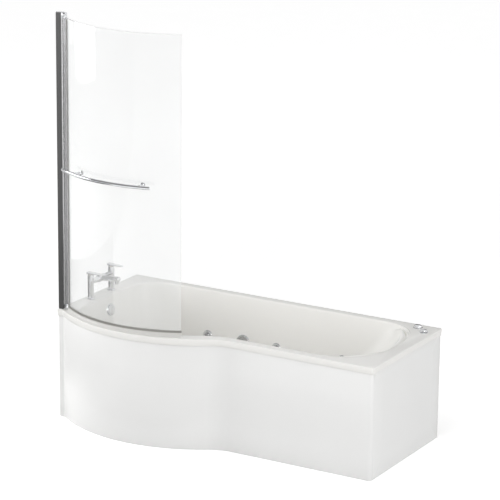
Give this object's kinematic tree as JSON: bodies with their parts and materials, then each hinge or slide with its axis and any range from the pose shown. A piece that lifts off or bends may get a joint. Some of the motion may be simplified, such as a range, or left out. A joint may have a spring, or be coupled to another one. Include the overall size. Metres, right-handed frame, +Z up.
{
  "type": "p shaped shower bath",
  "caption": "P shaped acrylic shower bath with a bulged shower end, curved hinged glass screen with towel rail, deck mixer tap, skirt panels and water jets.",
  "frame": {"origin": "middle of the bounding box of the whole bath and screen, on the floor", "axes": "+X from the tap end to the head end, +Y towards the back wall, +Z up"},
  "size_m": [1.7, 0.882, 1.975],
  "materials": {
    "white_acrylic": "polished cast acrylic",
    "white_panel": "polished acrylic sheet",
    "chrome": "polished",
    "grey_aluminium": "satin anodised",
    "bright_aluminium": "bright anodised",
    "clear_glass": "polished toughened glass",
    "clear_plastic": "soft clear vinyl",
    "rubber": "smooth",
    "softwood": "planed",
    "chipboard": "sealed",
    "zinc_steel": "bright zinc plate",
    "black_plastic": "moulded",
    "white_plastic": "moulded",
    "grey_plastic": "moulded",
    "brass": "turned",
    "motor_paint": "enamel"
  },
  "bodies": {
    "bath": {"bath_shell": "white_acrylic", "base_board": "chipboard", "rim_battens": "softwood", "cradle_rails": "zinc_steel", "foot_studs": "zinc_steel", "foot_nuts": "zinc_steel", "foot_pads": "black_plastic", "wood_screws": "brass", "wall_brackets": "zinc_steel", "front_panel": "white_panel", "end_panel": "white_panel", "floor_battens": "softwood", "waste_flange": "chrome", "waste_body": "grey_plastic", "waste_washers": "rubber", "bath_trap": "white_plastic", "overflow_body": "grey_plastic", "overflow_face": "chrome", "overflow_pipe": "grey_plastic", "popup_cable": "black_plastic", "jet_bodies": "white_plastic", "jet_flanges": "chrome", "suction_body": "white_plastic", "suction_cover": "chrome", "suction_pipe": "white_plastic", "water_pipes": "white_plastic", "air_pipes": "clear_plastic", "control_bodies": "chrome", "control_tube": "clear_plastic", "pump_casing": "black_plastic", "pump_motor": "motor_paint", "pump_base": "black_plastic", "wall_profile": "grey_aluminium", "adjuster_profile": "bright_aluminium", "top_pivot": "chrome", "bottom_pivot": "chrome", "tap_body": "chrome", "tap_flanges": "chrome", "tap_back_nuts": "brass", "tap_aerator": "white_plastic", "tap_cartridges": "brass"},
    "screen": {"hinge_profile": "bright_aluminium", "glass_panel": "clear_glass", "glass_gasket": "clear_plastic", "bottom_seal": "clear_plastic", "towel_rail": "chrome", "rail_fixings": "chrome"},
    "waste_plug": {"waste_plug": "chrome"},
    "overflow_knob": {"overflow_knob": "chrome"},
    "hot_lever": {"hot_lever": "chrome"},
    "cold_lever": {"cold_lever": "chrome"},
    "air_knob": {"air_knob": "chrome"},
    "pump_button": {"pump_button": "chrome"},
    "pump_impeller": {"pump_impeller": "white_plastic"},
    "jet_nozzle_1": {"jet_nozzle_1": "chrome"},
    "jet_nozzle_2": {"jet_nozzle_2": "chrome"},
    "jet_nozzle_3": {"jet_nozzle_3": "chrome"},
    "jet_nozzle_4": {"jet_nozzle_4": "chrome"},
    "jet_nozzle_5": {"jet_nozzle_5": "chrome"},
    "jet_nozzle_6": {"jet_nozzle_6": "chrome"}
  },
  "joints": [
    {"name": "screen_swing", "type": "hinge", "parent": "bath", "child": "screen", "pos_m": [-0.8, -0.2386, 0.54], "axis": [0, 0, 1], "range_deg": [-60, 75]},
    {"name": "hot_lever_turn", "type": "hinge", "parent": "bath", "child": "hot_lever", "pos_m": [-0.808, -0.033, 0.66], "axis": [0, 0, 1], "range_deg": [-90, 0]},
    {"name": "cold_lever_turn", "type": "hinge", "parent": "bath", "child": "cold_lever", "pos_m": [-0.808, 0.147, 0.66], "axis": [0, 0, 1], "range_deg": [0, 90]},
    {"name": "overflow_turn", "type": "hinge", "parent": "bath", "child": "overflow_knob", "pos_m": [-0.75675, 0.057, 0.47], "axis": [0.9962, 0, 0.0872], "range_deg": [0, 90]},
    {"name": "plug_lift", "type": "slide", "parent": "bath", "child": "waste_plug", "axis": [0, 0, 1], "range_m": [0, 0.008]},
    {"name": "impeller_spin", "type": "hinge", "parent": "bath", "child": "pump_impeller", "pos_m": [0.58, 0.211, 0.1], "axis": [1, 0, 0], "continuous": true},
    {"name": "air_knob_turn", "type": "hinge", "parent": "bath", "child": "air_knob", "pos_m": [0.747, 0.388, 0.543], "axis": [0, 0, 1], "range_deg": [0, 180]},
    {"name": "button_press", "type": "slide", "parent": "bath", "child": "pump_button", "axis": [0, 0, -1], "range_m": [0, 0.004], "stiffness_N_per_m": 400},
    {"name": "jet_tilt_1", "type": "hinge", "parent": "bath", "child": "jet_nozzle_1", "pos_m": [-0.39, 0.37427, 0.31583], "axis": [1, 0, 0], "range_deg": [-15, 15]},
    {"name": "jet_tilt_2", "type": "hinge", "parent": "bath", "child": "jet_nozzle_2", "pos_m": [-0.003, 0.37427, 0.31583], "axis": [1, 0, 0], "range_deg": [-15, 15]},
    {"name": "jet_tilt_3", "type": "hinge", "parent": "bath", "child": "jet_nozzle_3", "pos_m": [0.358, 0.37427, 0.31583], "axis": [1, 0, 0], "range_deg": [-15, 15]},
    {"name": "jet_tilt_4", "type": "hinge", "parent": "bath", "child": "jet_nozzle_4", "pos_m": [0.305, -0.18727, 0.31583], "axis": [1, 0, 0], "range_deg": [-15, 15]},
    {"name": "jet_tilt_5", "type": "hinge", "parent": "bath", "child": "jet_nozzle_5", "pos_m": [0.135, -0.18727, 0.31583], "axis": [1, 0, 0], "range_deg": [-15, 15]},
    {"name": "jet_tilt_6", "type": "hinge", "parent": "bath", "child": "jet_nozzle_6", "pos_m": [-0.385, -0.32367, 0.31583], "axis": [1, 0, 0], "range_deg": [-15, 15]}
  ],
  "couplings": [
    {"joint": "plug_lift", "follows": "overflow_turn", "m_per_rad": 0.0050925}
  ]
}
